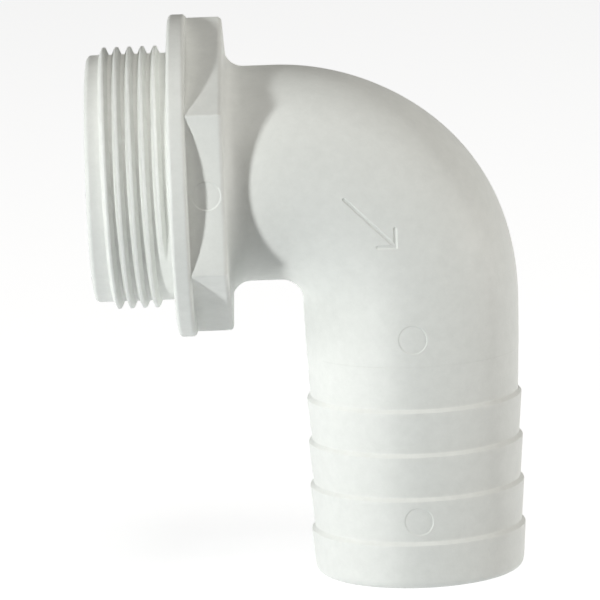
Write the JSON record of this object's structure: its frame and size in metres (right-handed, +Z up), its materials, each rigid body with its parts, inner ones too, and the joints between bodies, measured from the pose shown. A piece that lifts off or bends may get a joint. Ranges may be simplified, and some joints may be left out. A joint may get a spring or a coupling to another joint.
{
  "type": "threaded hose elbow",
  "caption": "Moulded right-angle elbow with a threaded spigot, round seating flange, spanner hexagon and barbed hose tail, for passing water through a hull or tank wall.",
  "frame": {"origin": "on the spigot's axis, in the plane of the flange's seating face", "axes": "-X out of the threaded spigot's mouth, -Z out of the hose tail's mouth, +Z up, +Y completing a right-handed frame"},
  "size_m": [0.0767, 0.0584, 0.1034],
  "materials": {
    "white_plastic": "matt, finely textured moulded surface"
  },
  "bodies": {
    "root": {"threaded_spigot": "white_plastic", "flange_collar": "white_plastic", "wrench_hex": "white_plastic", "neck_tube": "white_plastic", "elbow_bend": "white_plastic", "tail_shoulder": "white_plastic", "hose_barb_1": "white_plastic", "hose_barb_2": "white_plastic", "hose_barb_3": "white_plastic", "hose_barb_4": "white_plastic"}
  },
  "joints": []
}
